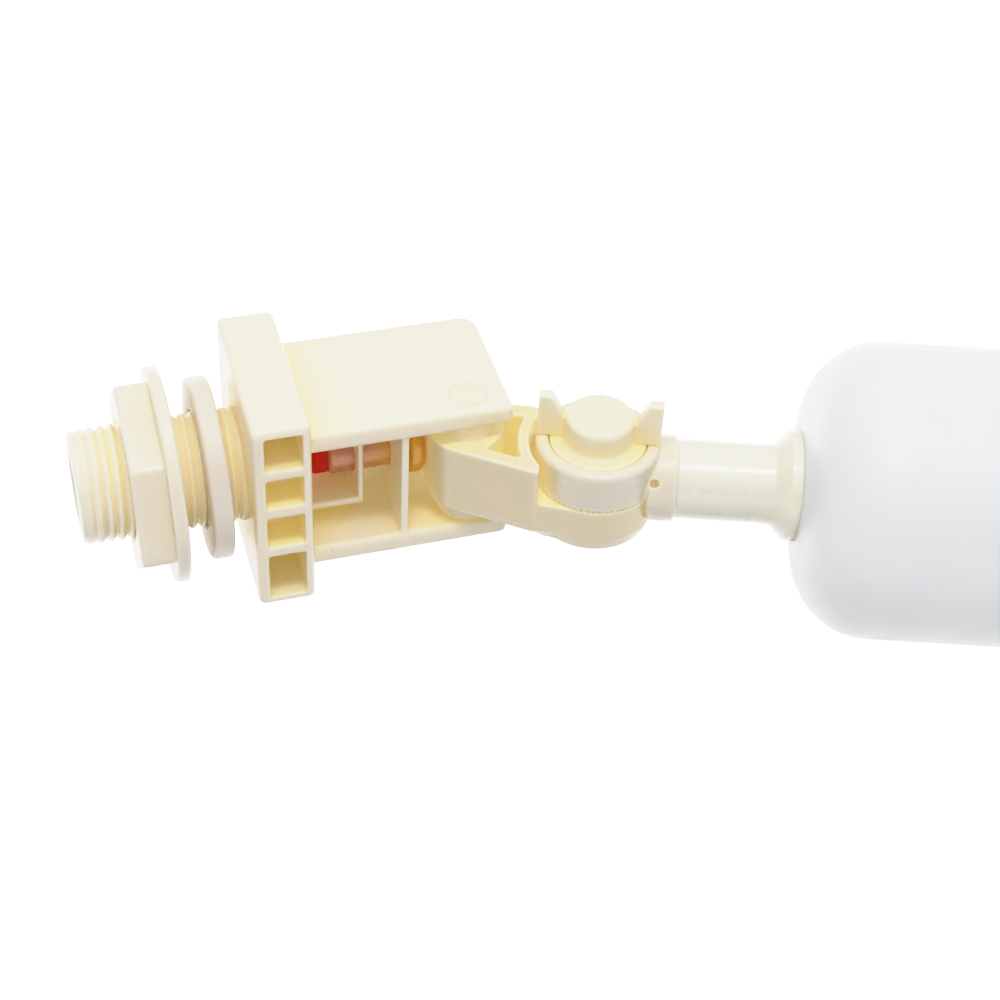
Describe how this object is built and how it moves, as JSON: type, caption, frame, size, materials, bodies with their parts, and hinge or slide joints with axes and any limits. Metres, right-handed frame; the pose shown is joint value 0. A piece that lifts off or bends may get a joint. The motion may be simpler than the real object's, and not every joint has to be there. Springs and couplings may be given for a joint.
{
  "type": "float valve",
  "caption": "Plastic float valve with a threaded inlet stem, flanged lock nut, lever-worked plunger between two plates, winged arm clamp and hollow float.",
  "frame": {"origin": "on the inlet stem's axis, at the body block's sealing face that bears on the tank wall", "axes": "+X along the inlet stem towards the float, +Z along the lever's pivot pin and the arm clamp's axis, +Y the way the float rises to shut the valve. It is stored lying down, as shown, with the pins upright; in a tank it is turned a quarter turn about X so that +Y points up."},
  "size_m": [0.2204, 0.1011, 0.0546],
  "materials": {
    "ivory_plastic": "satin",
    "lever_plastic": "satin",
    "arm_plastic": "satin",
    "stem_plastic": "satin",
    "washer_rubber": "matt",
    "plunger_plastic": "satin",
    "seal_rubber": "matt",
    "float_plastic": "satin"
  },
  "bodies": {
    "valve": {"valve_body": "ivory_plastic", "pivot_pin": "ivory_plastic"},
    "washer": {"sealing_washer": "washer_rubber"},
    "nut": {"lock_nut": "ivory_plastic"},
    "plunger": {"plunger": "plunger_plastic", "plunger_seal": "seal_rubber"},
    "lever": {"lever": "lever_plastic"},
    "arm": {"arm_head": "arm_plastic", "float_stem": "stem_plastic", "float_shell": "float_plastic"},
    "wing_bolt": {"wing_bolt": "arm_plastic"}
  },
  "joints": [
    {"name": "lever_swing", "type": "hinge", "parent": "valve", "child": "lever", "pos_m": [0.04046, -0.00842, 0], "axis": [0, 0, 1], "range_deg": [0, 14]},
    {"name": "plunger_slide", "type": "slide", "parent": "valve", "child": "plunger", "axis": [1, 0, 0], "range_m": [-0.00206, 0]},
    {"name": "arm_angle", "type": "hinge", "parent": "lever", "child": "arm", "pos_m": [0.06267, -0.0171, 0], "axis": [0, 0, 1], "range_deg": [-70, 70]},
    {"name": "wing_bolt_turn", "type": "hinge", "parent": "lever", "child": "wing_bolt", "pos_m": [0.06267, -0.0171, 0], "axis": [0, 0, 1], "range_deg": [0, 540]},
    {"name": "lock_nut_turn", "type": "hinge", "parent": "valve", "child": "washer", "pos_m": [-0.0054, 0, 0], "axis": [1, 0, 0], "range_deg": [-1400, 800]},
    {"name": "lock_nut_advance", "type": "slide", "parent": "washer", "child": "nut", "axis": [1, 0, 0], "range_m": [-0.00706, 0.00404]}
  ],
  "couplings": [
    {"joint": "plunger_slide", "follows": "lever_swing", "m_per_rad": -0.00842},
    {"joint": "lock_nut_advance", "follows": "lock_nut_turn", "m_per_rad": 0.00028871}
  ]
}
